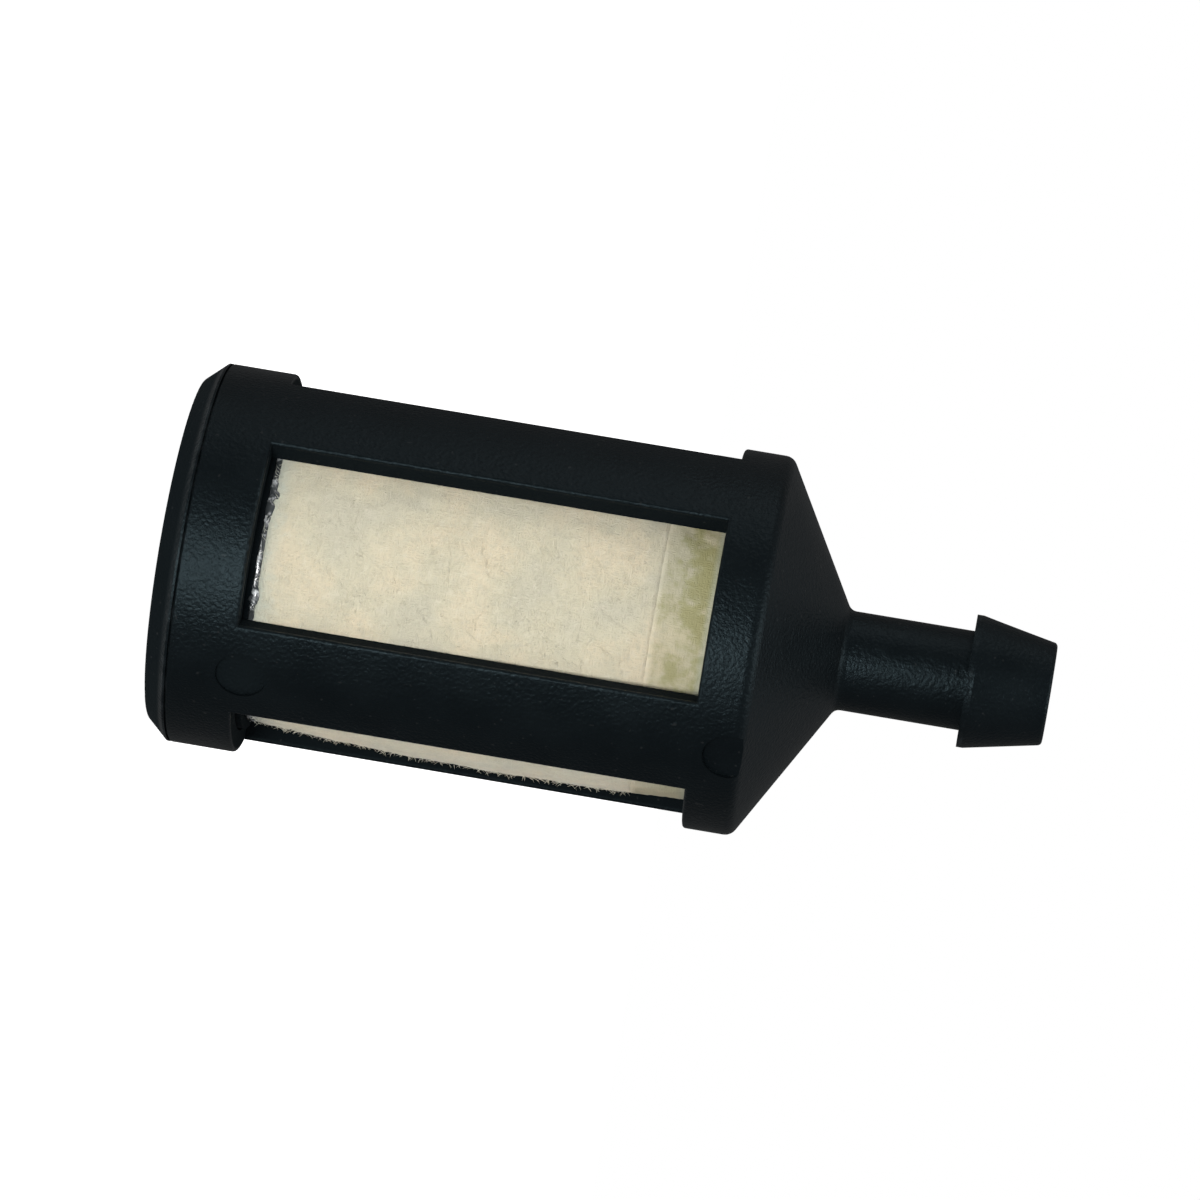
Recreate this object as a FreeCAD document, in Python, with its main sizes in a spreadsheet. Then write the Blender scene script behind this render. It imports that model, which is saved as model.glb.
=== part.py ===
"""Pick-up fuel filter for a small engine: a felt cartridge in a moulded cage with a hose barb.

The filter stands on its end plug. +Z runs along its axis, from the plug to the barb, and the
origin is the centre of the plug's flat face. Sizes are millimetres and angles are degrees.
"""
import FreeCAD, Part

import math
import os
import re

import Sketcher

Vector = FreeCAD.Vector
doc = FreeCAD.newDocument("fuel_filter")

# ---------------------------------------------------------------- sizes

# Each size that can be set by itself: its name, its value and what it is.
DRIVING = [
    # the moulded cage
    ("body_radius", 8.6, "outside of both rings and of the ribs"),
    ("cage_wall", 1.0, "wall of the rings and the ribs"),
    ("ring_height", 3.0, "lower ring, from its foot to the windows"),
    ("window_length", 20.35, "window, along the axis"),
    ("window_angle", 57.5, "window, round the axis"),
    ("window_count", 4, "windows, with one rib between each two"),
    ("window_round", 0.15, "rounding of the windows' outer edges"),
    ("shoulder_height", 2.2, "upper ring, from the windows to the cone"),
    ("shoulder_round", 0.6, "rounding between the upper ring and the cone"),
    ("cone_angle", 60.0, "cone, measured from the axis"),
    ("seam_bevel", 0.12, "bevel of the cage along its seam with the plug"),
    # the outlet
    ("stem_radius", 2.25, "neck that the hose grips"),
    ("stem_length", 5.6, "neck, from the cone to the barb"),
    ("stem_round", 0.4, "rounding at the foot of the neck"),
    ("barb_radius", 3.0, "crest of the barb"),
    ("barb_land", 0.3, "straight crest of the barb"),
    ("barb_taper", 3.45, "tapered nose of the barb, along the axis"),
    ("tip_radius", 2.3, "end of the nose"),
    ("tip_round", 0.2, "rounding round the end of the nose"),
    ("outlet_radius", 1.35, "bore through the barb and the neck"),
    # the ejector marks on one rib
    ("mark_radius", 1.15, "round mark left by an ejector pin"),
    ("mark_depth", 0.22, "depth of the marks"),
    ("mark_rise", 0.35, "lower mark's centre, above the windows' foot"),
    ("mark_drop", 0.5, "upper mark's centre, below the foot of the cone"),
    # the end plug
    ("flange_height", 1.05, "flange that closes the lower ring"),
    ("flange_bevel_height", 0.95, "bevel round the flange, along the axis"),
    ("flange_bevel_width", 0.87, "bevel round the flange, across"),
    ("flange_round", 0.2, "rounding at the foot of the bevel"),
    ("plug_wall", 0.85, "wall of the plug's cup"),
    ("plug_floor", 1.4, "floor of the plug's cup"),
    ("plug_rise", 0.25, "plug's rim, above the windows' foot"),
    ("gate_radius", 1.1, "dimple under the plug where it was moulded"),
    ("gate_depth", 0.3, "depth of the dimple"),
    # the cartridge
    ("ballast_thickness", 1.8, "steel disc in the plug"),
    ("ballast_bevel", 0.25, "bevel round the steel disc"),
    ("felt_thickness", 2.6, "wall of the felt sleeve"),
    ("felt_seat", 0.5, "felt hidden above the windows' head"),
    ("band_height", 3.0, "resin-soaked end of the felt"),
    ("band_depth", 0.4, "how deep the resin reaches into the felt"),
    ("bead_height", 0.25, "sealing bead under the felt"),
    ("bead_width", 0.5, "sealing bead, across"),
    ("screen_thickness", 0.15, "nylon screen inside the felt"),
    ("core_wall", 1.0, "wall of the support core"),
    ("core_engagement", 1.9, "end of the core that stands in the cage's socket"),
    ("slot_width", 2.4, "drain slot in the core, across"),
    ("slot_height", 2.6, "drain slot in the core, along the axis"),
    ("slot_margin", 1.5, "solid core above the plug, under the first slots"),
    ("slot_pitch", 4.0, "from one row of slots to the next"),
    ("slot_rows", 5, "rows of slots"),
    ("slot_columns", 6, "slots round the axis in one row"),
    # clearances
    ("fit_gap", 0.1, "between the cage and what slides into it"),
    ("sleeve_gap", 0.05, "between pieces pushed together for good"),
]

# What follows from them: heights above the plug's face, then radii from the cage inwards.
DERIVED = [
    ("window_foot", "flange_height + ring_height"),
    ("window_head", "window_foot + window_length"),
    ("plug_top", "window_foot + plug_rise"),
    ("ballast_top", "plug_floor + ballast_thickness"),
    ("bead_top", "plug_top + bead_height"),
    ("felt_top", "window_head + felt_seat"),
    ("band_foot", "felt_top - band_height"),
    ("roof", "felt_top + fit_gap"),
    ("core_top", "roof + core_engagement"),
    ("plenum_foot", "core_top + fit_gap"),
    ("cone_foot", "window_head + shoulder_height"),
    ("cone_head", "cone_foot + (body_radius - stem_radius) / tan(cone_angle * 1deg)"),
    ("crest_foot", "cone_head + stem_length"),
    ("crest_head", "crest_foot + barb_land"),
    ("tip", "crest_head + barb_taper"),
    ("bore_radius", "body_radius - cage_wall"),
    ("plug_radius", "bore_radius - fit_gap"),
    ("flange_foot_radius", "body_radius - flange_bevel_width"),
    ("cup_radius", "plug_radius - plug_wall"),
    ("disc_radius", "cup_radius - sleeve_gap"),
    ("felt_radius", "bore_radius - fit_gap"),
    ("band_bore", "felt_radius - band_depth"),
    ("bead_bore", "felt_radius - bead_width"),
    ("felt_bore", "felt_radius - felt_thickness"),
    ("screen_radius", "felt_bore - sleeve_gap"),
    ("screen_bore", "screen_radius - screen_thickness"),
    ("core_radius", "screen_bore - sleeve_gap"),
    ("core_bore", "core_radius - core_wall"),
    ("socket_radius", "core_radius + fit_gap"),
    ("plenum_head", "plenum_foot + (socket_radius - outlet_radius) / tan(cone_angle * 1deg)"),
    ("rib_azimuth", "0 - 180 / window_count"),
    ("mark_floor", "body_radius - mark_depth"),
]

ALIASES = {entry[0] for entry in DRIVING + DERIVED}
WORD = re.compile(r"\b[a-z]+(?:_[a-z]+)*\b")

sheet = doc.addObject("Spreadsheet::Sheet", "sizes")
for row, (alias, value, meaning) in enumerate(DRIVING, start=1):
    sheet.set(f"A{row}", meaning)
    sheet.set(f"B{row}", str(value))
    sheet.setAlias(f"B{row}", alias)
for row, (alias, formula) in enumerate(DERIVED, start=len(DRIVING) + 1):
    sheet.set(f"B{row}", "=" + formula)
    sheet.setAlias(f"B{row}", alias)
doc.recompute()


def bound(expression):
    """The expression with each of its sizes named in full, as the document writes it."""
    return WORD.sub(lambda word: "sizes." * (word.group() in ALIASES) + word.group(), expression)


def value_of(expression):
    """What an expression on the sizes comes to."""
    return float(sheet.evalExpression(bound(expression)))


# ---------------------------------------------------------------- shared ways of building


def new_body(label):
    """An empty body whose Label names the piece."""
    body = doc.addObject("PartDesign::Body", label)
    body.Label = label
    body.Placement = FreeCAD.Placement()
    return body


def new_sketch(body, name, role):
    """A sketch laid on one of the body's own origin planes."""
    sketch = body.newObject("Sketcher::SketchObject", name)
    plane = next(part for part in body.Origin.OriginFeatures if part.Role == role)
    sketch.AttachmentSupport = [(plane, "")]
    sketch.MapMode = "FlatFace"
    return sketch


def tie(sketch, kind, expression, *where):
    """Adds a dimension to the sketch and binds it to an expression on the sizes."""
    number = sketch.addConstraint(Sketcher.Constraint(kind, *where, value_of(expression)))
    sketch.setExpression(f"Constraints[{number}]", bound(expression))


def draw_outline(sketch, corners):
    """A closed outline through corners, each given as two expressions: across and along."""
    points = [Vector(value_of(across), value_of(along), 0) for across, along in corners]
    count = len(points)
    for place in range(count):
        sketch.addGeometry(Part.LineSegment(points[place], points[(place + 1) % count]))
    for place in range(count):
        sketch.addConstraint(Sketcher.Constraint("Coincident", place, 2, (place + 1) % count, 1))
    for line, corner in enumerate(corners):
        for kind, axis, expression in zip(("DistanceX", "DistanceY"), (-2, -1), corner):
            if expression == "0":
                sketch.addConstraint(Sketcher.Constraint("PointOnObject", line, 1, axis))
            else:
                tie(sketch, kind, expression, -1, 1, line, 1)


def revolve(body, name, corners):
    """Turns a half section, given as corners of radius and height, once round the axis."""
    sketch = new_sketch(body, name + "_section", "XZ_Plane")
    draw_outline(sketch, corners)
    turned = body.newObject("PartDesign::Revolution", name)
    turned.Profile = sketch
    turned.ReferenceAxis = (sketch, ["V_Axis"])
    turned.Angle = 360.0
    doc.recompute()
    return turned


def ring_edge(feature, radius, height):
    """The name of the feature's circular edge at that radius and height."""
    wanted = (value_of(radius), value_of(height))
    for number, edge in enumerate(feature.Shape.Edges, start=1):
        if isinstance(edge.Curve, Part.Circle):
            found = (edge.Curve.Radius, edge.Curve.Center.z)
            if math.dist(found, wanted) < 1e-4:
                return f"Edge{number}"
    raise ValueError(f"{feature.Name} has no round edge at {radius}, {height}")


def dress(body, kind, name, base, edges, amount):
    """Rounds (Fillet) or bevels (Chamfer) edges of a feature by one of the sizes."""
    feature = body.newObject(f"PartDesign::{kind}", name)
    feature.Base = (base, edges)
    feature.setExpression("Radius" if kind == "Fillet" else "Size", bound(amount))
    doc.recompute()
    return feature


def cylinder(name, radius, foot, head):
    """A solid cylinder on the axis, between two heights."""
    solid = doc.addObject("Part::Cylinder", name)
    solid.setExpression("Radius", bound(radius))
    solid.setExpression("Height", bound(f"{head} - {foot}"))
    solid.setExpression(".Placement.Base.z", bound(foot))
    return solid


def tube(label, outside, inside, foot, head):
    """A plain tube on the axis, between two heights."""
    piece = doc.addObject("Part::Cut", label)
    piece.Base = cylinder(label + "_outside", outside, foot, head)
    piece.Tool = cylinder(label + "_inside", inside, foot, head)
    piece.Label = label
    return piece


# ---------------------------------------------------------------- housing


def build_housing():
    """The cage: lower ring, ribs, shoulder, cone, neck and barb, moulded in one."""
    body = new_body("housing")
    cage = revolve(body, "cage", [
        ("bore_radius", "flange_height"),
        ("body_radius", "flange_height"),
        ("body_radius", "cone_foot"),
        ("stem_radius", "cone_head"),
        ("stem_radius", "crest_foot"),
        ("barb_radius", "crest_foot"),
        ("barb_radius", "crest_head"),
        ("tip_radius", "tip"),
        ("outlet_radius", "tip"),
        ("outlet_radius", "plenum_head"),
        ("socket_radius", "plenum_foot"),
        ("socket_radius", "roof"),
        ("bore_radius", "roof"),
    ])
    cut_windows(body, round_cage(body, cage))
    press_mark(body, "lower_mark", "window_foot + mark_rise")
    press_mark(body, "upper_mark", "cone_foot - mark_drop")
    return body


def round_cage(body, feature):
    """Rounds the corners that run right round the cage and bevels its foot."""
    for kind, name, radius, height, amount in (
        ("Fillet", "shoulder", "body_radius", "cone_foot", "shoulder_round"),
        ("Fillet", "neck_foot", "stem_radius", "cone_head", "stem_round"),
        ("Fillet", "nose", "tip_radius", "tip", "tip_round"),
        ("Chamfer", "seam", "body_radius", "flange_height", "seam_bevel"),
    ):
        feature = dress(body, kind, name, feature, [ring_edge(feature, radius, height)], amount)
    return feature


def cut_windows(body, cage):
    """Cuts one window centred on +X, with radial side walls, and repeats it round the axis."""
    solid = cage.Shape.Volume
    sketch = new_sketch(body, "window_wedge", "XY_Plane")
    sketch.setExpression(".AttachmentOffset.Base.z", bound("window_foot"))
    reach = "body_radius * 2"
    spread = "body_radius * 2 * tan(window_angle * 0.5deg)"
    far = Vector(value_of(reach), value_of(spread), 0)
    ends = [Vector(0, 0, 0), Vector(far.x, -far.y, 0), far]
    for place in range(3):
        sketch.addGeometry(Part.LineSegment(ends[place], ends[(place + 1) % 3]))
    for place in range(3):
        sketch.addConstraint(Sketcher.Constraint("Coincident", place, 2, (place + 1) % 3, 1))
    sketch.addConstraint(Sketcher.Constraint("Coincident", 0, 1, -1, 1))
    sketch.addConstraint(Sketcher.Constraint("Symmetric", 1, 1, 1, 2, -1))
    tie(sketch, "DistanceX", reach, -1, 1, 2, 1)
    tie(sketch, "DistanceY", spread, -1, 1, 2, 1)

    window = body.newObject("PartDesign::Pocket", "window")
    window.Profile = sketch
    window.Reversed = True
    window.setExpression("Length", bound("window_length"))
    doc.recompute()
    windows = body.newObject("PartDesign::PolarPattern", "windows")
    windows.Originals = [window]
    windows.Axis = (sketch, ["N_Axis"])
    windows.Angle = 360.0
    windows.setExpression("Occurrences", bound("window_count"))
    body.Tip = windows
    doc.recompute()
    assert windows.Shape.Volume < window.Shape.Volume < solid, "the windows cut nothing"
    dress(body, "Fillet", "window_rims", windows, window_rims(windows.Shape), "window_round")


def window_rims(shape):
    """The windows' edges that lie on the outside of the cage."""
    names = []
    low, high, outside = value_of("window_foot"), value_of("window_head"), value_of("body_radius")
    for number, edge in enumerate(shape.Edges, start=1):
        points = edge.discretize(5)
        on_cage = all(abs(math.hypot(point.x, point.y) - outside) < 1e-3 for point in points)
        if on_cage and all(low - 1e-3 < point.z < high + 1e-3 for point in points):
            names.append(f"Edge{number}")
    return names


def mark_circle(body, name, height):
    """The circle of a mark, laid square to the middle of the marked rib at the marks' floor."""
    sketch = new_sketch(body, name + "_circle", "XZ_Plane")
    turn = "(90 + rib_azimuth) * 1deg"
    sketch.AttachmentOffset = FreeCAD.Placement(Vector(0, 0, 0), FreeCAD.Rotation(Vector(0, 1, 0), 1))
    sketch.setExpression(".AttachmentOffset.Rotation.Angle", bound(turn))
    sketch.setExpression(".AttachmentOffset.Base.x", bound(f"mark_floor * sin({turn})"))
    sketch.setExpression(".AttachmentOffset.Base.z", bound(f"mark_floor * cos({turn})"))
    centre = Vector(0, value_of(height), 0)
    sketch.addGeometry(Part.Circle(centre, Vector(0, 0, 1), value_of("mark_radius")))
    sketch.addConstraint(Sketcher.Constraint("PointOnObject", 0, 3, -2))
    tie(sketch, "DistanceY", height, -1, 1, 0, 3)
    tie(sketch, "Radius", "mark_radius", 0)
    return sketch


def press_mark(body, name, height):
    """A shallow round mark, cut from its floor outwards."""
    solid = body.Tip.Shape.Volume
    mark = body.newObject("PartDesign::Pocket", name)
    mark.Profile = mark_circle(body, name, height)
    mark.Reversed = True
    mark.setExpression("Length", bound("mark_depth * 2"))
    doc.recompute()
    assert mark.Shape.Volume < solid, f"{name} cuts nothing"


# ---------------------------------------------------------------- end plug and its ballast


def build_end_plug():
    """The plug that closes the lower ring: a bevelled flange under a cup."""
    body = new_body("end_plug")
    cup = revolve(body, "cup", [
        ("0", "gate_depth"),
        ("gate_radius", "gate_depth"),
        ("gate_radius", "0"),
        ("flange_foot_radius", "0"),
        ("body_radius", "flange_bevel_height"),
        ("body_radius", "flange_height"),
        ("plug_radius", "flange_height"),
        ("plug_radius", "plug_top"),
        ("cup_radius", "plug_top"),
        ("cup_radius", "plug_floor"),
        ("0", "plug_floor"),
    ])
    foot = [ring_edge(cup, "flange_foot_radius", "0")]
    dress(body, "Fillet", "flange_foot", cup, foot, "flange_round")
    return body


def build_ballast_disc():
    """The steel disc that keeps the filter at the bottom of the tank."""
    body = new_body("ballast_disc")
    revolve(body, "disc", [
        ("0", "plug_floor"),
        ("disc_radius - ballast_bevel", "plug_floor"),
        ("disc_radius", "plug_floor + ballast_bevel"),
        ("disc_radius", "ballast_top - ballast_bevel"),
        ("disc_radius - ballast_bevel", "ballast_top"),
        ("0", "ballast_top"),
    ])
    return body


# ---------------------------------------------------------------- cartridge


def build_support_core():
    """The slotted tube that holds the felt, on a foot that shuts the ballast into the plug."""
    body = new_body("support_core")
    spool = revolve(body, "spool", [
        ("0", "ballast_top"),
        ("disc_radius", "ballast_top"),
        ("disc_radius", "plug_top"),
        ("core_radius", "plug_top"),
        ("core_radius", "core_top"),
        ("core_bore", "core_top"),
        ("core_bore", "plug_top"),
        ("0", "plug_top"),
    ])
    sketch = new_sketch(body, "slot_outline", "XZ_Plane")
    low, high = "plug_top + slot_margin", "plug_top + slot_margin + slot_height"
    draw_outline(sketch, [
        ("0 - slot_width / 2", low),
        ("slot_width / 2", low),
        ("slot_width / 2", high),
        ("0 - slot_width / 2", high),
    ])
    slot = body.newObject("PartDesign::Pocket", "slot")
    slot.Profile = sketch
    slot.Type = "ThroughAll"
    doc.recompute()

    rows = body.newObject("PartDesign::LinearPattern", "slot_column")
    rows.Direction = (sketch, ["V_Axis"])
    rows.setExpression("Length", bound("slot_pitch * (slot_rows - 1)"))
    rows.setExpression("Occurrences", bound("slot_rows"))
    columns = body.newObject("PartDesign::PolarPattern", "slot_ring")
    columns.Axis = (sketch, ["V_Axis"])
    columns.Angle = 360.0
    columns.setExpression("Occurrences", bound("slot_columns"))
    slots = body.newObject("PartDesign::MultiTransform", "slots")
    slots.Originals = [slot]
    slots.Transformations = [rows, columns]
    body.Tip = slots
    doc.recompute()
    assert slots.Shape.Volume < slot.Shape.Volume < spool.Shape.Volume, "the slots cut nothing"
    return body


def build_mesh_screen():
    """The fine nylon screen drawn over the core."""
    return tube("mesh_screen", "screen_radius", "screen_bore", "plug_top", "felt_top")


def build_felt_sleeve():
    """The felt, with room at its ends for the sealing bead and the resin."""
    body = new_body("felt_sleeve")
    revolve(body, "felt", [
        ("felt_bore", "plug_top"),
        ("bead_bore", "plug_top"),
        ("bead_bore", "bead_top"),
        ("felt_radius", "bead_top"),
        ("felt_radius", "band_foot"),
        ("band_bore", "band_foot"),
        ("band_bore", "felt_top"),
        ("felt_bore", "felt_top"),
    ])
    return body


def build_bond_band():
    """The resin-soaked skin at the felt's upper end."""
    return tube("bond_band", "felt_radius", "band_bore", "band_foot", "felt_top")


def build_seal_bead():
    """The bead of adhesive that seals the felt to the plug."""
    return tube("seal_bead", "felt_radius", "bead_bore", "plug_top", "bead_top")


# ---------------------------------------------------------------- build, test and write

pieces = [
    build_housing(),
    build_end_plug(),
    build_ballast_disc(),
    build_support_core(),
    build_mesh_screen(),
    build_felt_sleeve(),
    build_bond_band(),
    build_seal_bead(),
]
doc.recompute()

for thing in doc.Objects:
    assert not {"Invalid", "Error"} & set(thing.State), f"{thing.Name} failed: {thing.State}"
for piece in pieces:
    assert not piece.Shape.isNull() and piece.Shape.isValid(), f"{piece.Label} has no valid shape"
    assert len(piece.Shape.Solids) == 1, f"{piece.Label} is not one solid"

os.makedirs("parts", exist_ok=True)
for piece in pieces:
    piece.Shape.exportStep(f"parts/{piece.Label}.step")
    box = piece.Shape.BoundBox
    print(f"{piece.Label:14} {piece.Shape.Volume:8.1f} mm3   z {box.ZMin:6.2f} to {box.ZMax:6.2f}")
print(f"overall length {value_of('tip'):.2f} mm, diameter {value_of('body_radius * 2'):.2f} mm")
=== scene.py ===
# %% [markdown]
# # A pick-up fuel filter, dressed for a close look
#
# The real object is a small in-tank filter. A black nylon cage with four windows holds a sleeve
# of cream felt, and a conical shoulder leads into a barb that a fuel hose is pushed over. The
# rigid shapes are already right in the frame that this script loads, so they stay as they are
# and only get finishes. The soft and sticky parts (felt, resin, adhesive) are plain tubes in the
# frame.

# %% Load the frame
import math
import random

import bmesh
import bpy
from mathutils import Matrix, Vector, noise


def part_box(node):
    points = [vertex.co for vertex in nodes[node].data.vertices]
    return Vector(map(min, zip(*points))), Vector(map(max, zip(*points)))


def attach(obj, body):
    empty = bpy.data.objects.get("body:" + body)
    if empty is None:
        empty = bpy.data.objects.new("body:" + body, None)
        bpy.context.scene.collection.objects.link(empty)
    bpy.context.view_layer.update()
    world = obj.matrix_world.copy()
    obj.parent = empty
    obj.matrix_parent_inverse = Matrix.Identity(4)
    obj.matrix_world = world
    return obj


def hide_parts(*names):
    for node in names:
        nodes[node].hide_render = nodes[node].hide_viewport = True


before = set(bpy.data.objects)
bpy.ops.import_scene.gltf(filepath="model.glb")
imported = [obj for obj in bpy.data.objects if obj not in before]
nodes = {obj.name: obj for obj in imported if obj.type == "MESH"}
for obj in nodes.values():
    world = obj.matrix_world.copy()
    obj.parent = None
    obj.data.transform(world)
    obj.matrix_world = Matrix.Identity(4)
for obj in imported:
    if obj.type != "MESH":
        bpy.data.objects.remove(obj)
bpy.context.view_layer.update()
print("nodes:", ", ".join(sorted(nodes)))

# %% [markdown]
# ## Sizes
#
# Most sizes are measured from the frame, so they needn't be fitted by eye: how wide the felt is,
# where its resin band starts and where the barb ends all come from the boxes of the nodes. The
# clearance between felt and cage and the width of a window don't show in a box, so they are given.
# The script works in metres, as the frame does, with `MM` as the unit that a person thinks in.

# %% Sizes taken from the frame
MM = 0.001
CLEARANCE = 0.1 * MM
WINDOW_ANGLE = math.radians(57.5)


def span(node):
    """A node's outside radius, its lowest height and its highest height."""
    low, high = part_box(node)
    return (high.x - low.x) / 2, low.z, high.z


CAGE_R, CAGE_FOOT, TIP = span("housing")
FELT_R, FELT_FOOT, FELT_TOP = span("felt_sleeve")
SCREEN_R = span("mesh_screen")[0]
BAND_FOOT = span("bond_band")[1]
BEAD_TOP = span("seal_bead")[2]
BORE_R = FELT_R + CLEARANCE
WINDOW_HEAD = FELT_TOP - 0.5 * MM
WINDOW_HALF = WINDOW_ANGLE / 2
print(f"cage radius {CAGE_R / MM:.2f}, felt radius {FELT_R / MM:.2f}, length {TIP / MM:.2f} mm")

# %% [markdown]
# ## Shader maths that reads like maths
#
# A finish is a sum of patterns: a mask here, a little noise there. Written as node calls it is
# unreadable, so one small class wraps a socket and gives it Python's own operators. `1 - mask`
# then adds a Math node, and every other kind of node comes from the one method `node`.

# %% A socket that can be added and multiplied
class Wire:
    """An output socket of a shader tree, with operators that write Math nodes."""

    def __init__(self, tree, socket=None):
        self.tree = tree
        self.socket = socket

    def node(self, kind, settings=(), sockets=(), output=0):
        """Adds one node: its type, its settings, then the values or wires of its sockets."""
        made = self.tree.nodes.new(kind)
        for name, value in dict(settings).items():
            setattr(made, name, value)
        for name, value in dict(sockets).items():
            if isinstance(value, Wire):
                self.tree.links.new(value.socket, made.inputs[name])
            else:
                made.inputs[name].default_value = value
        return Wire(self.tree, made.outputs[output])

    def math(self, operation, first, second=0.0):
        """One Math node on wires or numbers."""
        return self.node("ShaderNodeMath", {"operation": operation}, {0: first, 1: second})

    def __add__(self, other):
        return self.math("ADD", self, other)

    def __sub__(self, other):
        return self.math("SUBTRACT", self, other)

    def __rsub__(self, other):
        return self.math("SUBTRACT", other, self)

    def __mul__(self, other):
        return self.math("MULTIPLY", self, other)

    __radd__ = __add__
    __rmul__ = __mul__


print("a Wire writes Math nodes for + - and *")

# %% [markdown]
# ## Shared patterns
#
# The patterns below are the ones that moulded plastic and felt share: soft cloudy noise, a mask
# with soft edges between two values, and a blend of two colours by a mask. All of them start
# from Object coordinates turned into millimetres, so a grain size is a real size.

# %% Patterns that every finish uses
def noise_at(at, per_mm, detail=2.0, roughness=0.5):
    """Cloudy noise from 0 to 1, with so many features to the millimetre."""
    sockets = {"Vector": at, "Scale": per_mm, "Detail": detail, "Roughness": roughness}
    return at.node("ShaderNodeTexNoise", {}, sockets)


def soft_step(value, low, high):
    """0 below low, 1 above high and a smooth slope between them."""
    settings = {"interpolation_type": "SMOOTHSTEP"}
    return value.node("ShaderNodeMapRange", settings, {"Value": value, 1: low, 2: high})


def blend(mask, first, second):
    """The first colour where the mask is 0 and the second where it is 1."""
    # The colour sockets of a Mix node are its seventh and eighth.
    return mask.node(
        "ShaderNodeMix", {"data_type": "RGBA"}, {0: mask, 6: first, 7: second}, output=2
    )


def along(at, axis):
    """One coordinate of a place: X, Y or Z."""
    return at.node("ShaderNodeSeparateXYZ", {}, {0: at}, output="XYZ".index(axis))


def stretched(at, factors):
    """The same place with its axes scaled, which draws a pattern out into streaks."""
    return at.node("ShaderNodeVectorMath", {"operation": "MULTIPLY"}, {0: at, 1: factors})


def radius_of(at):
    """How far a place is from the filter's axis."""
    flat = stretched(at, (1.0, 1.0, 0.0))
    return at.node("ShaderNodeVectorMath", {"operation": "LENGTH"}, {0: flat}, output="Value")


def turn_of(at):
    """A place's angle round the axis, in radians."""
    return at.math("ARCTAN2", along(at, "Y"), along(at, "X"))


print("patterns: noise_at soft_step blend along stretched radius_of turn_of")

# %% [markdown]
# ## What a finish is
#
# Every finish is one Principled shader. A number that is the same all over the surface, such as
# its index of refraction, is set on the shader's own socket, and only what changes over the
# surface is wired in. The helper makes the material, hands out the place in millimetres and
# takes the wires, so that each finish below is only its patterns.

# %% Start a finish
def new_finish(name, **constants):
    """A material, its place in millimetres, and a function that feeds the shader's sockets."""
    material = bpy.data.materials.new(name)
    material.use_nodes = True
    tree = material.node_tree
    shader = tree.nodes["Principled BSDF"]
    for socket, value in constants.items():
        shader.inputs[socket.replace("_", " ")].default_value = value
    start = Wire(tree)
    place = start.node("ShaderNodeTexCoord", output="Object")
    scale = {"operation": "SCALE"}
    at = start.node("ShaderNodeVectorMath", scale, {0: place, "Scale": 1 / MM})

    def feed(socket, wire):
        tree.links.new(wire.socket, shader.inputs[socket])

    return material, at, feed


def bump(height, depth):
    """A normal pushed in and out by a height of 0 to 1, over a depth in millimetres."""
    sockets = {"Height": height, "Distance": depth * MM, "Strength": 1.0}
    return height.node("ShaderNodeBump", {}, sockets, output="Normal")


print("a finish takes its place in millimetres, and bump depths in millimetres too")

# %% [markdown]
# ## Black nylon
#
# The cage and the plug are moulded in a spark-eroded tool. It leaves pits about a sixth of a
# millimetre wide that break the highlights into specks, a finer grain inside them, and cloudy
# differences in gloss. A single dark colour would look like a hole in the picture. The few
# corners that rub in the tank turn slightly paler, so the colour also lifts at their heights.
# The walls of the windows are seen at a grazing angle, where gloss would mirror the pale felt,
# and on the real part they are dull. A mask on radius and height makes them rough.

# %% Black nylon for the cage and the plug
DARK_NYLON = (0.0020, 0.0031, 0.0039, 1)
PALE_NYLON = (0.0042, 0.0060, 0.0071, 1)
RUBBED_NYLON = (0.028, 0.034, 0.037, 1)
LINT = (0.10, 0.10, 0.10, 1)


def make_nylon(name, corner_heights):
    """Moulded black nylon whose corners at the given heights, in millimetres, are rubbed."""
    material, at, feed = new_finish(name, IOR=1.22, Specular_Tint=(0.62, 0.90, 1.0, 1))
    clouds = noise_at(at, 0.45, detail=3.0)
    pits = noise_at(at, 6.0, detail=2.0, roughness=0.45)
    grain = noise_at(at, 11.0, detail=3.0, roughness=0.6)
    rubbed = 0.0
    height = along(at, "Z")
    for corner in corner_heights:
        distance = at.math("ABSOLUTE", height - corner)
        rubbed = (1 - soft_step(distance, 0.02, 0.14)) + rubbed
    rubbed = rubbed * soft_step(noise_at(at, 1.1, detail=3.0), 0.45, 0.66)
    worn = blend(rubbed * 0.35, blend(clouds, DARK_NYLON, PALE_NYLON), RUBBED_NYLON)
    lint = soft_step(noise_at(at, 5.0, detail=0.0), 0.80, 0.83)
    feed("Base Color", blend(lint * 0.10, worn, LINT))
    inner = 1 - soft_step(radius_of(at), CAGE_R / MM - 0.30, CAGE_R / MM - 0.10)
    inner = inner * (1 - soft_step(height, WINDOW_HEAD / MM, WINDOW_HEAD / MM + 0.1))
    gloss = clouds * 0.20 + grain * 0.10 + 0.26
    feed("Roughness", gloss * (1 - inner) + inner)
    feed("Normal", bump(grain * 0.40 + pits, 0.042))
    return material


BARB_CREST = TIP - 3.6 * MM
PLUG_CORNER = 0.95 * MM
nylon_cage = make_nylon("black_nylon_cage", [CAGE_FOOT / MM, BARB_CREST / MM])
nylon_plug = make_nylon("black_nylon_plug", [PLUG_CORNER / MM])
print("finishes:", nylon_cage.name, nylon_plug.name)

# %% [markdown]
# ## Felt
#
# The felt is needled wool and polyester: cream, with warmer and cooler patches a few millimetres
# wide, a finer mottling, and thin fibres lying every way. At its plug end it is bluish, where
# the adhesive has wicked in. The colour and the streaks of the fibres are functions of a place,
# because the resin band and the loose fibres start from them too.

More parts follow.
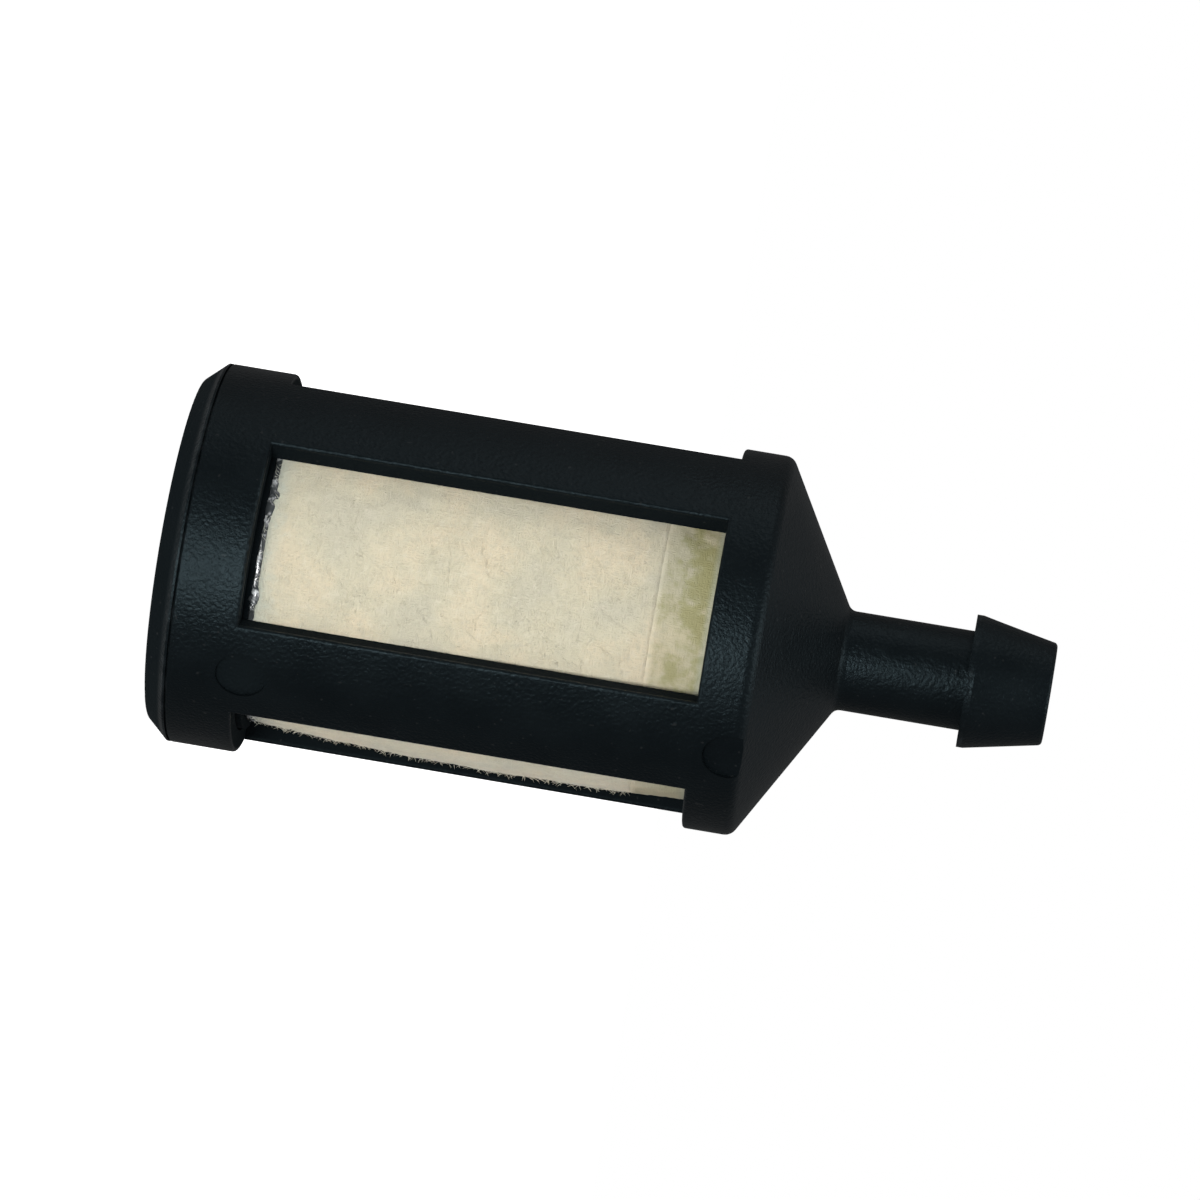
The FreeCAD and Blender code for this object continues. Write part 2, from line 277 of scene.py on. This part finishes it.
# %% The felt's colours and streaks
CREAM = (0.650, 0.608, 0.455, 1)
WARM = (0.730, 0.645, 0.470, 1)
COOL = (0.590, 0.562, 0.440, 1)
WICKED = (0.520, 0.575, 0.500, 1)
PALE = (0.745, 0.70, 0.565, 1)
OLIVE = (0.285, 0.272, 0.092, 1)


def felt_colour(at):
    """Cream felt in patches, with a cooler rim where adhesive has wicked in."""
    patches = noise_at(at, 0.30, detail=3.0)
    blots = noise_at(at, 0.95, detail=3.0, roughness=0.6)
    mottle = noise_at(at, 2.4, detail=3.0, roughness=0.6)
    colour = blend(soft_step(patches + blots * 0.35, 0.60, 0.84), CREAM, WARM)
    colour = blend(soft_step(patches, 0.48, 0.34) * 0.8, colour, COOL)
    colour = blend(soft_step(mottle, 0.46, 0.70) * 0.45, colour, COOL)
    colour = blend(soft_step(mottle, 0.48, 0.30) * 0.35, colour, PALE)
    end = along(at, "Z") + mottle * 1.2 - FELT_FOOT / MM
    return blend((1 - soft_step(end, 0.5, 1.9)) * 0.85, colour, WICKED)


def fibre_height(at):
    """Streaks in two directions, as felt's fibres lie, from 0 to 1."""
    one_way = noise_at(stretched(at, (3.0, 3.0, 14.0)), 1.0, detail=3.0)
    other_way = noise_at(stretched(at, (15.0, 15.0, 3.5)), 1.0, detail=3.0)
    return at.math("MAXIMUM", one_way, other_way)


print("felt colours: cream, warm, cool, pale, wicked, and olive under resin")

# %% [markdown]
# Sheen on the shader gives the soft rim of light that fuzzy cloth has, and the gaps between the
# fibres are darkened a little, because less light gets into them. The loose fibres are modelled
# further down, and here they get the felt's own colour, bleached in places.

# %% The felt's finish and its fibres'
FELT_GAP_SHADE = (0.38, 0.345, 0.24, 1)
BLEACHED = (0.80, 0.77, 0.66, 1)


def make_felt():
    """Cream felt, with painted shade between its fibres."""
    material, at, feed = new_finish(
        "needled_felt", Sheen_Weight=0.3, Sheen_Roughness=0.5, Specular_IOR_Level=0.15
    )
    fibres = fibre_height(at)
    # Painted shade: the felt's colour is darkened where the fibre streaks are low, between the
    # fibres.
    gap_shade = 1 - soft_step(fibres, 0.35, 0.62)
    feed("Base Color", blend(gap_shade * 0.22, felt_colour(at), FELT_GAP_SHADE))
    feed("Roughness", fibres * 0.2 + 0.78)
    feed("Normal", bump(fibres, 0.07))
    return material


def make_fibre():
    """Loose fibres: the felt's colour, bleached in places towards white."""
    material, at, feed = new_finish("felt_fibre", Sheen_Weight=0.2, Specular_IOR_Level=0.3)
    feed("Base Color", blend(noise_at(at, 1.3) * 0.8, felt_colour(at), BLEACHED))
    feed("Roughness", noise_at(at, 4.0) * 0.2 + 0.5)
    return material


felt_finish = make_felt()
fibre_finish = make_fibre()
print("felt finishes:", felt_finish.name, fibre_finish.name)

# %% [markdown]
# ## Resin-soaked felt and adhesive
#
# At the barb end the felt was dipped in resin to seal it to its core. The resin darkens it to a
# patchy olive and lays the fibres flat, so this finish is the felt's own colour mixed with
# olive, smoother and a little glossy. The resin deepens towards the end of the felt. On the +X
# side, which the key lamp lights, the olive is weakened, which paints light on that side. The
# very rim is paler and greyer.

# %% The resin band's finish
RESIN_RIM = (0.44, 0.49, 0.44, 1)


def make_resin_felt():
    """Felt under patchy resin, deeper towards the felt's end, with painted light on the +X side."""
    material, at, feed = new_finish("resin_felt", Specular_IOR_Level=0.3)
    patches = noise_at(at, 0.62, detail=3.0, roughness=0.6)
    mottle = noise_at(at, 2.6, detail=3.0, roughness=0.6)
    height = along(at, "Z")
    # Painted light: less olive towards +X, the side that the key lamp lights.
    lit_side = soft_step(along(at, "X"), 3.5, 6.5)
    reach = soft_step(height + patches * 0.6, BAND_FOOT / MM + 0.20, BAND_FOOT / MM + 0.65)
    depth = soft_step(height, BAND_FOOT / MM, WINDOW_HEAD / MM)
    soaked = soft_step(patches + mottle * 0.35 + depth * 0.10, 0.60, 0.84)
    amount = (soaked * 0.50 + depth * 0.14 + 0.20) * reach * (1 - lit_side * 0.6)
    colour = blend(amount, felt_colour(at), OLIVE)
    rim = soft_step(height, WINDOW_HEAD / MM - 0.42, WINDOW_HEAD / MM - 0.05)
    feed("Base Color", blend(rim * 0.4, colour, RESIN_RIM))
    feed("Roughness", 0.75 - soaked * 0.25)
    feed("Normal", bump(fibre_height(at), 0.05))
    return material


resin_finish = make_resin_felt()
print("resin finish:", resin_finish.name)

# %% [markdown]
# The adhesive at the plug end is a clear bead gone milky in places. Where it is clear, the dark
# plug shows through it, so its colour runs from nearly black to white, under a glossy coat.

# %% The adhesive's finish
CLEAR_GLUE = (0.045, 0.052, 0.055, 1)
MILKY_GLUE = (0.62, 0.65, 0.66, 1)


def make_adhesive():
    """Clear adhesive gone milky in places, uneven under a glossy skin."""
    material, at, feed = new_finish(
        "adhesive", Coat_Weight=1.0, Coat_Roughness=0.08, Subsurface_Weight=0.15,
        Subsurface_Radius=(0.0004, 0.0004, 0.0004),
    )
    milky = noise_at(at, 2.4, detail=4.0, roughness=0.6)
    feed("Base Color", blend(soft_step(milky, 0.50, 0.70), CLEAR_GLUE, MILKY_GLUE))
    feed("Roughness", milky * 0.2 + 0.12)
    feed("Normal", bump(noise_at(at, 5.0, detail=3.0), 0.06))
    return material


adhesive_finish = make_adhesive()
print("adhesive finish:", adhesive_finish.name)

# %% [markdown]
# ## The inner pieces
#
# With the cage pulled off, the top of the core shows, and a cut through the filter would show
# the rest. The core is natural, slightly waxy plastic with faint flow lines. The screen is a
# plain weave of fine nylon thread, and the ballast is a turned steel disc with a bright zinc
# coat, so its pattern is rings about the axis.

# %% Core, screen and ballast
SCREEN_PITCH = 0.22
STEEL_RINGS = 38.0


def make_core_plastic():
    """Natural plastic with faint flow lines along the core."""
    material, at, feed = new_finish(
        "core_plastic", Subsurface_Weight=0.2, Subsurface_Radius=(0.001, 0.001, 0.0008)
    )
    flow = noise_at(stretched(at, (0.8, 0.8, 0.25)), 1.0, detail=3.0)
    grain = noise_at(at, 8.0, detail=3.0)
    feed("Base Color", blend(flow, (0.66, 0.64, 0.54, 1), (0.80, 0.79, 0.71, 1)))
    feed("Roughness", flow * 0.15 + grain * 0.1 + 0.35)
    feed("Normal", bump(grain, 0.01))
    return material


def make_screen_weave():
    """A plain weave: threads round the sleeve and along it, passing over each other."""
    material, at, feed = new_finish("screen_weave", Sheen_Weight=0.1)
    threads_round = round(2 * math.pi * SCREEN_R / MM / SCREEN_PITCH)
    across = at.math("SINE", turn_of(at) * threads_round)
    upward = at.math("SINE", along(at, "Z") * (2 * math.pi / SCREEN_PITCH))
    woven = across * upward * 0.5 + 0.5
    # Painted shade: the colour turns dark where the weave is low, between and under the threads.
    dip_shade = soft_step(woven, 0.10, 0.35)
    feed("Base Color", blend(dip_shade, (0.20, 0.20, 0.17, 1), (0.80, 0.80, 0.74, 1)))
    feed("Roughness", woven * 0.2 + 0.4)
    feed("Normal", bump(woven, 0.06))
    return material


def make_turned_steel():
    """Zinc-coated steel with the fine rings that a turning tool leaves."""
    material, at, feed = new_finish("turned_steel", Metallic=1.0)
    rings = at.math("SINE", radius_of(at) * STEEL_RINGS + noise_at(at, 0.8) * 3.0)
    stain = noise_at(at, 0.5, detail=4.0)
    feed("Base Color", blend(stain, (0.42, 0.43, 0.44, 1), (0.60, 0.60, 0.58, 1)))
    feed("Roughness", stain * 0.2 + rings * 0.04 + 0.22)
    feed("Normal", bump(rings * 0.5 + 0.5, 0.008))
    return material


def wear(node, material):
    """Gives a node of the frame its finish."""
    slots = nodes[node].data.materials
    slots.clear()
    slots.append(material)


for node, material in (
    ("housing", nylon_cage),
    ("end_plug", nylon_plug),
    ("support_core", make_core_plastic()),
    ("mesh_screen", make_screen_weave()),
    ("ballast_disc", make_turned_steel()),
):
    wear(node, material)
    print(f"{node} wears {material.name}")

# %% [markdown]
# ## How the felt's surface lies
#
# Felt is not a perfect tube. In the windows it is free, so it lies in each one differently, and
# at the barb end the resin has drawn it in. The sleeve never stands out beyond the bore of the
# cage, or the cage could not be pushed over it. One function says how far out the surface is at
# any angle and height. The felt, its resin band, the bead and the fibres all follow it, so they
# stay together.

# %% The felt's outer surface as one function
# How far out the felt lies in each window, in millimetres: at its foot, its middle and its head.
# The windows are taken in turn from +X, and the next one is towards +Y.
LIE = ((7.02, 7.50, 7.30), (7.44, 7.50, 7.05), (7.36, 7.50, 7.15), (7.52, 7.42, 6.92))


def smooth(share):
    """0 to 1 with soft ends, for shares below 0 and above 1 too."""
    share = min(1.0, max(0.0, share))
    return share * share * (3 - 2 * share)


def in_window(turn):
    """1 inside a window and 0 under its ribs, by the angle round the axis."""
    off_centre = abs((turn + math.pi / 4) % (math.pi / 2) - math.pi / 4)
    return smooth((WINDOW_HALF - off_centre) / math.radians(2.5))


def lie_of(window, share):
    """The felt's radius in one window, on a curve through its foot, middle and head."""
    foot, middle, head = LIE[window % 4]
    bulge = (4 * middle - foot - head) * share * (1 - share)
    return foot * (1 - share) ** 2 + bulge + head * share ** 2


def felt_radius(turn, height):
    """How far from the axis the felt's surface is."""
    share = (height - FELT_FOOT) / (WINDOW_HEAD - FELT_FOOT)
    share = min(1.0, max(0.0, share))
    quarter = (turn / (math.pi / 2)) % 4
    window = int(quarter)
    across = smooth((quarter - window - 0.5) / 0.5 + 0.5)
    lie = lie_of(window, share) * (1 - across) + lie_of(window + 1, share) * across
    place = Vector((math.cos(turn) * FELT_R, math.sin(turn) * FELT_R, height)) / MM
    uneven = noise.fractal(place * 0.55, 1.0, 2.0, 3) * 0.06
    fine = noise.fractal(place * 2.6, 1.0, 2.0, 3) * 0.035
    free = (lie + uneven + fine) * MM
    free = min(free, BORE_R - 0.02 * MM)
    held = min(free, BORE_R - 0.06 * MM)
    ends = smooth((WINDOW_HEAD + 0.05 * MM - height) / (0.3 * MM))
    return held + (free - held) * in_window(turn) * ends


for side in range(4):
    heights = (FELT_FOOT, (FELT_FOOT + WINDOW_HEAD) / 2, WINDOW_HEAD)
    radii = [round(felt_radius(side * math.pi / 2, height) / MM, 2) for height in heights]
    print(f"felt radius in window {side}, foot to head: {radii} mm")

# %% [markdown]
# ## Turned shapes
#
# Felt sleeve, resin band and bead are all turned about the axis. A closed outline of a few
# vertices is the right start: one edge of it is divided where detail is wanted, the outline is
# spun once round with its ends merged, and the vertices on the outside are then moved onto the
# felt's surface. The inside stays a true cylinder, because it sits on the core.

# %% Spin an outline into a closed ring
RING_STEPS = 260
BEAD_STEPS = 200


def spin_outline(corners, steps, cuts):
    """A bmesh ring from corners of radius and height; the second edge is divided by cuts."""
    shape = bmesh.new()
    points = [shape.verts.new((radius, 0.0, height)) for radius, height in corners]
    edges = [shape.edges.new((points[n - 1], points[n])) for n in range(1, len(points))]
    edges.append(shape.edges.new((points[-1], points[0])))
    if cuts:
        bmesh.ops.subdivide_edges(shape, edges=[edges[1]], cuts=cuts)
    bmesh.ops.spin(
        shape, geom=shape.verts[:] + shape.edges[:], cent=(0, 0, 0), axis=(0, 0, 1),
        angle=2 * math.pi, steps=steps, use_merge=True,
    )
    bmesh.ops.remove_doubles(shape, verts=shape.verts, dist=1e-8)
    bmesh.ops.recalc_face_normals(shape, faces=shape.faces)
    return shape


print(f"a felt ring has {RING_STEPS} steps of {2 * math.pi * FELT_R / RING_STEPS / MM:.2f} mm")

# %% [markdown]
# A mesh becomes a piece of the model when it has a material, rides on a body of the frame and
# says which of the frame's nodes it stands for, because those are then hidden. Counting open
# edges first shows at once whether a ring has a gap.

# %% Turn a mesh into a piece
def finish_piece(name, shape, material, body, slot, *stands_for):
    """Makes an object of a bmesh, riding on a body for the nodes it replaces."""
    print(f"{name}: {sum(not edge.is_manifold for edge in shape.edges)} open edges")
    mesh = bpy.data.meshes.new(name)
    shape.to_mesh(mesh)
    shape.free()
    return place_mesh(name, mesh, material, body, slot, *stands_for)


def place_mesh(name, mesh, material, body, slot, *stands_for):
    """Makes a smooth-shaded object of a mesh and puts it on its body."""
    mesh.materials.clear()
    mesh.materials.append(material)
    mesh.shade_smooth()
    piece = bpy.data.objects.new(name, mesh)
    bpy.context.scene.collection.objects.link(piece)
    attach(piece, body)
    if stands_for:
        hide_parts(*stands_for)
    print(f"{name}: {len(mesh.vertices)} vertices, {len(mesh.polygons)} faces")
    return piece


def lay_on_felt(shape, inner):
    """Moves a ring's outside onto the felt's surface and leaves what is inside inner."""
    for vert in shape.verts:
        radius = math.hypot(vert.co.x, vert.co.y)
        if radius > inner:
            turn = math.atan2(vert.co.y, vert.co.x)
            wanted = felt_radius(turn, vert.co.z) + radius - FELT_R
            vert.co.x, vert.co.y = wanted * math.cos(turn), wanted * math.sin(turn)


# %% [markdown]
# ## Felt sleeve and resin band
#
# The sleeve's outline steps in under the resin band, so that the felt stays below the band's
# surface and no cream comes through it. Its outside has 90 cuts along its height, which is what
# lets the uneven surface show. The band is a thin closed skin on top, with rounded edges.

# %% Felt sleeve
FELT_BORE = SCREEN_R + 0.05 * MM
FELT_INNER_EDGE = FELT_R - 0.7 * MM
felt_shape = spin_outline(
    [
        (FELT_R - 0.12 * MM, BEAD_TOP),
        (FELT_R, BEAD_TOP + 0.10 * MM),
        (FELT_R, BAND_FOOT),
        (FELT_R - 0.14 * MM, BAND_FOOT + 0.05 * MM),
        (FELT_R - 0.20 * MM, FELT_TOP),
        (FELT_BORE, FELT_TOP),
        (FELT_BORE, FELT_FOOT),
        (FELT_R - 0.55 * MM, FELT_FOOT),
    ],
    steps=RING_STEPS, cuts=90,
)
lay_on_felt(felt_shape, FELT_INNER_EDGE)
felt = finish_piece("felt", felt_shape, felt_finish, "cartridge", "felt", "felt_sleeve")

# %% Resin band
band_shape = spin_outline(
    [
        (FELT_R - 0.02 * MM, BAND_FOOT - 0.03 * MM),
        (FELT_R + 0.02 * MM, BAND_FOOT + 0.02 * MM),
        (FELT_R + 0.02 * MM, FELT_TOP - 0.05 * MM),
        (FELT_R - 0.05 * MM, FELT_TOP),
        (FELT_R - 0.15 * MM, FELT_TOP),
        (FELT_R - 0.15 * MM, BAND_FOOT - 0.03 * MM),
    ],
    steps=RING_STEPS, cuts=16,
)
lay_on_felt(band_shape, FELT_INNER_EDGE)
finish_piece("resin_band", band_shape, resin_finish, "cartridge", "resin_felt", "bond_band")

# %% [markdown]
# ## The bead of adhesive
#
# The bead was squeezed out when the felt was pressed onto the plug, so it is a thin ring with
# drops of many sizes along it. Drops are spheres, squashed and pushed into the ring, and a
# voxel Remesh melts them together, as wet adhesive does. Its result is applied straight away.

# %% Adhesive bead with its drops
def melt(piece, voxel):
    """Fuses the overlapping shells of a piece into one skin and smooths it."""
    remesh = piece.modifiers.new("melt", "REMESH")
    remesh.mode = "VOXEL"
    remesh.voxel_size = voxel
    relax = piece.modifiers.new("relax", "SMOOTH")
    relax.factor = 0.5
    relax.iterations = 3
    ready = piece.evaluated_get(bpy.context.evaluated_depsgraph_get())
    melted = bpy.data.meshes.new_from_object(ready)
    piece.modifiers.clear()
    piece.data = melted
    piece.data.shade_smooth()


def add_drops(shape, dice, count):
    """Squashed spheres along the ring in the windows, in clusters."""
    for _ in range(count):
        turn = dice.uniform(0, 2 * math.pi)
        crowd = noise.noise(Vector((math.cos(turn), math.sin(turn), 0.3)) * 2.2)
        if crowd < -0.05 or in_window(turn) < 0.3:
            continue
        size = dice.uniform(0.08, 0.22) * MM
        drop = bmesh.ops.create_icosphere(shape, subdivisions=3, radius=size)["verts"]
        bmesh.ops.scale(shape, verts=drop, vec=(0.7, dice.uniform(1.0, 2.2), dice.uniform(0.8, 1.3)))
        height = BEAD_TOP - dice.uniform(-0.08, 0.16) * MM
        out = felt_radius(turn, height) - dice.uniform(0.02, 0.10) * MM
        place = Matrix.Rotation(turn, 4, "Z") @ Matrix.Translation((out, 0, height))
        bmesh.ops.transform(shape, matrix=place, verts=drop)


bead_shape = spin_outline(
    [
        (FELT_R - 0.10 * MM, FELT_FOOT),
        (FELT_R - 0.03 * MM, FELT_FOOT + 0.05 * MM),
        (FELT_R - 0.05 * MM, BEAD_TOP - 0.03 * MM),
        (FELT_R - 0.15 * MM, BEAD_TOP + 0.05 * MM),
        (FELT_R - 0.40 * MM, BEAD_TOP + 0.02 * MM),
        (FELT_R - 0.40 * MM, FELT_FOOT),
    ],
    steps=BEAD_STEPS, cuts=1,
)
lay_on_felt(bead_shape, FELT_INNER_EDGE)
add_drops(bead_shape, random.Random(11), count=150)
bead = finish_piece("bead", bead_shape, adhesive_finish, "cartridge", "adhesive", "seal_bead")
melt(bead, voxel=0.045 * MM)
print("bead after melting:", len(bead.data.polygons), "faces")

# %% [markdown]
# ## Fibres
#
# A surface with bump alone has a clean outline, and felt never does. A few thousand thin fibres
# are laid on the free felt in the windows as short curves: about half lie almost flat, each in
# its own direction, and the others are shorter and stand off it. None grow on the resin band,
# which has glued them down. A curve with a four-sided bevel is the cheapest fibre, and each
# kind becomes one mesh.

# %% Where a fibre runs
def fibre_points(dice, length, lift, where, joints=5):
    """Points of one fibre over the felt: it wanders, and rises by lift towards its end."""
    turn, height = where
    heading = dice.uniform(0, 2 * math.pi)
    bend = dice.uniform(-1.1, 1.1)
    points = []
    for n in range(joints):
        share = n / (joints - 1)
        rise = 0.012 * MM + lift * share * share
        out = felt_radius(turn, height) + rise * max(0.15, in_window(turn))
        points.append(Vector((out * math.cos(turn), out * math.sin(turn), height)))
        heading += bend / joints
        turn += math.cos(heading) * length / (joints - 1) / FELT_R
        height += math.sin(heading) * length / (joints - 1)
        height = min(BAND_FOOT + 0.2 * MM, max(FELT_FOOT + 0.1 * MM, height))
    return points


def add_fibre(curve, points):
    """One spline through the points, thinner at both ends."""
    spline = curve.splines.new("POLY")
    spline.points.add(len(points) - 1)
    for point, place in zip(spline.points, points):
        point.co = (*place, 1.0)
    for end in (spline.points[0], spline.points[-1]):
        end.radius = 0.35


FIBRE_R = 0.007 * MM
print(f"a fibre is {2 * FIBRE_R / MM:.3f} mm thick")

# %% Felt fibres
def grow_fibres(dice, count, length, lift):
    """So many fibres in random places of the windows, with lengths and lifts in millimetres."""
    curve = bpy.data.curves.new("fibres", "CURVE")
    curve.dimensions = "3D"
    curve.bevel_depth = FIBRE_R
    curve.bevel_resolution = 0
    curve.use_fill_caps = True
    for _ in range(count):
        side = dice.randrange(4) * math.pi / 2
        turn = side + dice.uniform(-1.02, 1.02) * WINDOW_HALF
        height = dice.uniform(FELT_FOOT + 0.15 * MM, BAND_FOOT)
        long = dice.uniform(*length) * MM
        high = dice.uniform(*lift) * MM
        add_fibre(curve, fibre_points(dice, long, high, (turn, height)))
    holder = bpy.data.objects.new("fibres", curve)
    bpy.context.scene.collection.objects.link(holder)
    ready = holder.evaluated_get(bpy.context.evaluated_depsgraph_get())
    mesh = bpy.data.meshes.new_from_object(ready)
    bpy.data.objects.remove(holder)
    return mesh


dice = random.Random(5)
place_mesh(
    "fibres_flat", grow_fibres(dice, count=3000, length=(0.4, 1.4), lift=(0.0, 0.03)),
    fibre_finish, "cartridge", "felt",
)
place_mesh(
    "fibres_loose", grow_fibres(dice, count=3400, length=(0.20, 0.6), lift=(0.04, 0.24)),
    fibre_finish, "cartridge", "felt",
)

# %% [markdown]
# ## Floor
#
# The filter stands on its plug on a plain white floor that runs into a white surround. The
# floor lies a hair below the plug, because two faces in one plane flicker. Only the camera sees
# it: black plastic mirrors whatever is near, and a glowing floor would turn it grey.

# %% Floor
FLOOR_DROP = 0.05 * MM


def make_floor():
    """A wide white disc that is part of the stage, not of the object."""
    shape = bmesh.new()
    place = Matrix.Translation((0, 0, -FLOOR_DROP))
    bmesh.ops.create_circle(shape, cap_ends=True, segments=96, radius=0.6, matrix=place)
    mesh = bpy.data.meshes.new("floor")
    shape.to_mesh(mesh)
    shape.free()
    material, at, feed = new_finish("floor_white", Roughness=0.9, Specular_IOR_Level=0.0)
    paper = noise_at(at, 0.05, detail=2.0)
    feed("Base Color", blend(paper, (0.88, 0.88, 0.88, 1), (0.90, 0.90, 0.90, 1)))
    shader = material.node_tree.nodes["Principled BSDF"]
    shader.inputs["Emission Color"].default_value = (1, 1, 1, 1)
    shader.inputs["Emission Strength"].default_value = 1.0
    mesh.materials.append(material)
    floor = bpy.data.objects.new("floor", mesh)
    bpy.context.scene.collection.objects.link(floor)
    floor.visible_glossy = False
    floor.visible_diffuse = False
    floor.visible_shadow = False
    return floor


print("floor at", round(make_floor().data.vertices[0].co.z / MM, 2), "mm")

# %% [markdown]
# ## World
#
# The camera sees a white world. The object is lit by a dimmer one, brighter below and above than
# level with the filter, which gives the black cage soft pale edges and a dark middle. A Light
# Path node tells the two apart.

# %% World
def make_world(seen, below, level, above):
    """White to the camera; to the object, lighter below and above than level with it."""
    world = bpy.data.worlds.new("studio")
    world.use_nodes = True
    bpy.context.scene.world = world
    tree = world.node_tree
    tree.nodes.clear()
    start = Wire(tree)
    direct = start.node("ShaderNodeLightPath", output="Is Camera Ray")
    height = along(start.node("ShaderNodeTexCoord", output="Generated"), "Z")
    low = 1 - soft_step(height, -0.9, -0.35)
    high = soft_step(height, 0.35, 0.9)
    glow = low * (below - level) + high * (above - level) + level
    strength = direct * seen + (1 - direct) * glow
    white = {"Color": (1, 1, 1, 1), "Strength": strength}
    light = start.node("ShaderNodeBackground", {}, white)
    out = tree.nodes.new("ShaderNodeOutputWorld")
    tree.links.new(light.socket, out.inputs["Surface"])
    return world


print("world:", make_world(seen=1.0, below=0.78, level=0.14, above=0.38).name)

# %% [markdown]
# ## Camera
#
# The camera looks at the filter from the side and a few degrees from the barb's end, through a
# long lens, and it is rolled so that the filter lies across the picture with its barb lower on
# the right. Its axes are written out: right is the filter's own axis as the camera sees it,
# turned by the roll.

# %% Camera
AZIMUTH = math.radians(9.0)
ELEVATION = math.radians(3.0)
ROLL = math.radians(9.5)
DISTANCE = 0.300
AIM_HEIGHT = 19.22 * MM
AIM_OFFSET = 0.86 * MM
FRAME_WIDTH = 53.8 * MM
SENSOR = 36.0

back = Vector((
    math.sin(AZIMUTH) * math.cos(ELEVATION),
    -math.cos(AZIMUTH) * math.cos(ELEVATION),
    math.sin(ELEVATION),
))
level_right = (Vector((0, 0, 1)) - back * back.z).normalized()
level_up = back.cross(level_right)
right = level_right * math.cos(ROLL) + level_up * math.sin(ROLL)
above = level_up * math.cos(ROLL) - level_right * math.sin(ROLL)
aim = Vector((0, 0, AIM_HEIGHT)) + above * AIM_OFFSET

camera_data = bpy.data.cameras.new("camera")
camera_data.sensor_width = SENSOR
camera_data.lens = SENSOR * DISTANCE / FRAME_WIDTH
camera_data.clip_start = 0.01
camera = bpy.data.objects.new("camera", camera_data)
bpy.context.scene.collection.objects.link(camera)
turned = Matrix((right, above, back)).transposed().to_4x4()
camera.matrix_world = Matrix.Translation(aim + back * DISTANCE) @ turned
bpy.context.scene.camera = camera
bpy.context.scene.view_settings.view_transform = "Standard"
print(f"lens {camera_data.lens:.0f} mm at {DISTANCE * 1000:.0f} mm")

# %% [markdown]
# ## Lamps
#
# One soft light does two jobs, and they are easier to balance as two lamps. The key is large and
# lights only what is matt, such as the felt, because its mirror image would wash out the black
# nylon. The glint is small and near and gives only gloss: its image in the nylon is what makes
# the moulded grain sparkle. Two weak lamps lift the top and the far side.

# %% Lamps
MIDDLE = Vector((0, 0, 0.018))
LOWER_RING = Vector((0, 0, 0.004))


def add_lamp(name, place, size, radiance, target=MIDDLE):
    """A round soft lamp of a given brightness, turned to face the target."""
    data = bpy.data.lights.new(name, "AREA")
    data.shape = "DISK"
    data.size = size
    data.energy = radiance * math.pi * math.pi * (size / 2) ** 2
    lamp = bpy.data.objects.new(name, data)
    bpy.context.scene.collection.objects.link(lamp)
    lamp.location = place
    lamp.rotation_mode = "QUATERNION"
    lamp.rotation_quaternion = (place - target).to_track_quat("Z", "Y")
    return lamp


key = add_lamp("key", Vector((0.11, -0.35, -0.07)), size=0.17, radiance=15.6)
key.visible_glossy = False
glint = add_lamp("glint", Vector((0.036, -0.115, -0.010)), 0.04, 34.0, target=LOWER_RING)
glint.visible_diffuse = False
top = add_lamp("top", Vector((0.02, -0.12, 0.36)), size=0.22, radiance=5.0)
fill = add_lamp("fill", Vector((-0.34, -0.10, 0.06)), size=0.20, radiance=2.0)
for lamp in (key, glint, top, fill):
    print(f"{lamp.name}: {lamp.data.size * 1000:.0f} mm across, {lamp.data.energy:.3f} W")
